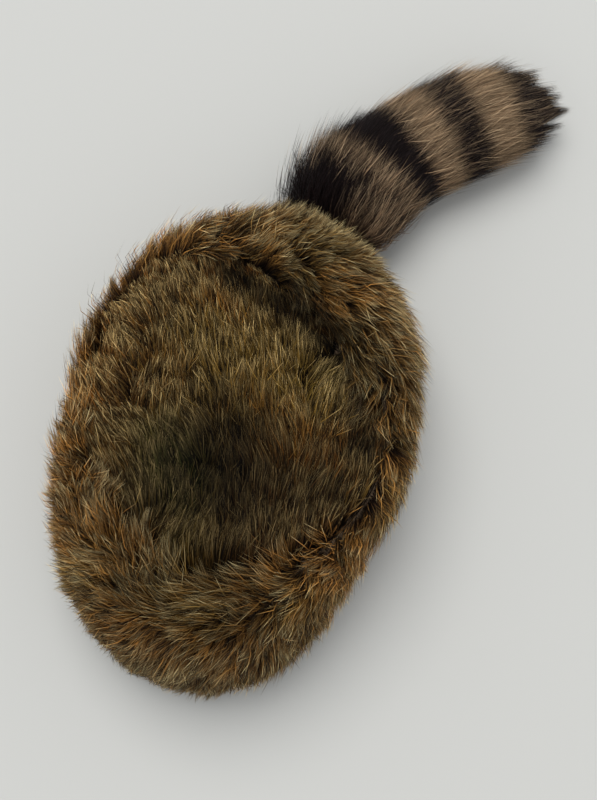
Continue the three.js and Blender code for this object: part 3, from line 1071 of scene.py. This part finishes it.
def tail_material(name, black, tan, pale):
    """The tail's rings, with ragged edges, and dark roots under the tan."""
    material, paint, shader = new_material(name, 0.5)
    along = paint.named("along")
    tone = paint.named("tone")
    tuft = paint.named("tuft")
    shade = paint.named("shade")
    place = paint.named("ring") + along * 0.15 + (tone - 0.5) * 0.07 + (tuft - 0.5) * 0.04

    # A wave along the tail is dark at its crests, which lie further apart towards the tip.
    past_first = paint.calculate("MINIMUM", place, 0.99) - FIRST_RING
    count = past_first * RINGS - past_first * past_first * RINGS_SPREAD
    wave = paint.calculate("COSINE", count * (2 * math.pi))
    wave = wave + paint.step(place, 0.36, 0.26) * 0.4 + paint.step(place, 0.58, 0.5) * 0.3
    dark = paint.step(wave, -0.5, 0.5)

    # Some hairs of the third ring and the right side of the first stay tan.
    dark = dark * (1.0 - paint.step(place, 0.5, 0.6) * paint.step(tone, 0.8, 0.88) * 0.6)
    dark = dark * (1.0 - paint.named("paler") * paint.step(tone, 0.2, 0.5) * 0.9)
    stained = paint.step(place, 0.4, 0.33) * 0.6
    dark = paint.clamp(dark + stained * paint.step(shade, 0.8, 0.3))
    body = paint.mix(paint.step(along, 0.4, 0.95) * paint.step(tone, 0.2, 0.8), tan, pale)
    body = paint.mix(paint.step(along, 0.45, 0.1), body, black)
    light = 0.28 + tuft * 0.6 + shade * shade * 1.1
    paint.feed(shader, "Base Color", paint.lit(paint.mix(dark, body, black), light))
    return material


def backing_material(name, colour, dark):
    """Knitted backing: rows of small loops in brown cloth."""
    material, paint, shader = new_material(name, 0.9, 0.2)
    where = paint.add("ShaderNodeTexCoord", {}, {}, "Object")
    rows = {"Vector": where, "Scale": 420.0, "Distortion": 2.0}
    loops = paint.add("ShaderNodeTexWave", {"bands_direction": "DIAGONAL"}, rows, "Fac")
    grain = {"Vector": where, "Scale": 60.0, "Detail": 3.0}
    cloud = paint.add("ShaderNodeTexNoise", {}, grain, "Fac")
    mix = paint.clamp(loops * 0.6 + cloud * 0.6)
    paint.feed(shader, "Base Color", paint.mix(mix, dark, colour))
    relief = {"Height": loops, "Strength": 0.4, "Distance": 0.4 * MM}
    paint.feed(shader, "Normal", paint.add("ShaderNodeBump", {}, relief))
    return material


# The hides, seen from below.


def closed_shell(name, outer, inner, material, around):
    """A thin wall between two grids of points, closed along their edges."""
    rows, columns = outer.shape[:2]
    shift = rows * columns
    outside = grid_faces(rows, columns, around)
    inside = outside[:, ::-1] + shift
    numbers = np.arange(shift).reshape(rows, columns)
    if around:
        first, last = numbers[0], numbers[-1]
        loops = [np.append(first, first[0]), np.append(last, last[0])[::-1]]
    else:
        sides = [numbers[0], numbers[1:, -1], numbers[-1, -2::-1], numbers[-2::-1, 0]]
        loops = [np.concatenate(sides)]
    edges = [np.stack([a[1:], a[:-1], a[:-1] + shift, a[1:] + shift], axis=-1) for a in loops]
    mesh = bpy.data.meshes.new(name)
    corners = np.concatenate([outer.reshape(-1, 3), inner.reshape(-1, 3)])
    mesh.from_pydata(corners.tolist(), [], np.vstack([outside, inside, *edges]).tolist())
    mesh.polygons.foreach_set("use_smooth", np.ones(len(mesh.polygons), bool))
    mesh.materials.append(material)
    return new_object(name, mesh)


def band_backing(material):
    """The band's hide, cut level where it stands on the surface."""
    angles = np.linspace(0, FULL_TURN, 180, endpoint=False)
    climb, degrees = np.meshgrid(np.linspace(0.0, 1.0, 40), angles, indexing="ij")
    outer, _, _, outward = band_frame(degrees, climb)
    inner = outer - outward * HIDE
    inner[..., 2] = np.maximum(inner[..., 2], 0)
    outer[0, :, 2] = inner[0, :, 2] = 0
    return closed_shell("band_hide", outer, inner, material, True)


def crown_backing(material):
    """The crown's hide, as thick as the band's."""
    top = crown_hide(*disc(CROWN_GRID))
    return closed_shell("crown_hide", top, top - UP * HIDE, material, False)


def tail_backing(material):
    """The tail's hide, closed at its sewn end and at its tip."""
    around = np.linspace(1, 0, 32, endpoint=False)
    along, turns = np.meshgrid(np.linspace(0, TAIL_SKIN_END, 60), around, indexing="ij")
    tube, _, _ = tail_skin(along, turns)
    sewn_end = np.broadcast_to(tube[:1].mean(axis=1, keepdims=True), tube[:1].shape)
    mesh = grid_mesh("tail_hide", np.concatenate([sewn_end, tube]), around=True)
    close_ends(mesh)
    mesh.materials.append(material)
    return new_object("tail_hide", mesh)


# The pieces.


def keep(piece, node):
    """Every piece rides on the one body, and the part of the solids for its node is hidden."""
    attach(piece, "root")
    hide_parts(node)


BAND_STRETCHES = (("right", -30, 90), ("back_left", 90, 210), ("front", 210, 330))

tree = hair_tree()
crown_paint = fur_material("crown_fur_paint", CROWN_COLOURS, 0.1)
band_paint = fur_material("band_fur_paint", BAND_COLOURS, 0.2)
tail_paint = tail_material("tail_fur_paint", **TAIL_COLOURS)
backing = backing_material("backing_paint", (0.16, 0.11, 0.07), (0.05, 0.034, 0.022))

crown_fur = grow("crown_fur", crown_skin(), tree, crown_paint, CROWN_HAIR, 1)
keep(crown_fur, "crown")
for index, (label, start, end) in enumerate(BAND_STRETCHES):
    skin = band_skin("band_skin_" + label, start, end)
    fur = grow("band_fur_" + label, skin, tree, band_paint, BAND_HAIR, 101 + 100 * index)
    keep(fur, "side_band")
tail_fur = grow("tail_fur", tail_grid(), tree, tail_paint, TAIL_HAIR, 501)
keep(tail_fur, "tail")

keep(band_backing(backing), "side_band")
keep(crown_backing(backing), "crown")
keep(tail_backing(backing), "tail")


# The floor, light and camera.

FLOOR_HALF = 40.0
CAMERA_PLACE = (0.0558, -0.0671, 0.625)
CAMERA_AIM = (0.0244, 0.0322, 0.0341)


def turned_to(direction):
    """The turn that points a lamp or camera along a direction."""
    return Vector(direction).to_track_quat("-Z", "Y").to_euler()


def soft_sun(name, toward, strength, spread, colour):
    """A broad distant lamp, as even over the floor as a large softbox."""
    data = bpy.data.lights.new(name, "SUN")
    data.energy = strength
    data.angle = math.radians(spread)
    data.color = colour
    new_object(name, data).rotation_euler = turned_to(toward)


floor_paint, _, floor_shader = new_material("floor_paint", 0.6, 0.3)
floor_shader.inputs["Base Color"].default_value = (0.565, 0.57, 0.55, 1.0)
floor_corners = [(x * FLOOR_HALF, y * FLOOR_HALF, 0) for x, y in ((-1, -1), (1, -1), (1, 1), (-1, 1))]
floor_mesh = bpy.data.meshes.new("floor")
floor_mesh.from_pydata(floor_corners, [], [(0, 1, 2, 3)])
floor_mesh.materials.append(floor_paint)
floor = new_object("floor", floor_mesh)

soft_sun("key", toward=(0.6, -0.8, -2.2), strength=1.78, spread=44, colour=(1.0, 0.985, 0.96))

world = bpy.data.worlds.new("studio")
bpy.context.scene.world = world
world.use_nodes = True
sky = world.node_tree.nodes["Background"]
sky.inputs["Color"].default_value = (0.97, 0.98, 1.0, 1.0)
sky.inputs["Strength"].default_value = 0.66

camera_data = bpy.data.cameras.new("camera")
camera_data.sensor_fit = "VERTICAL"
camera_data.sensor_height = 36
camera_data.lens = 54
camera = new_object("camera", camera_data)
camera.location = CAMERA_PLACE
camera.rotation_euler = turned_to(Vector(CAMERA_AIM) - camera.location)
bpy.context.scene.camera = camera
bpy.context.scene.view_settings.view_transform = "Standard"
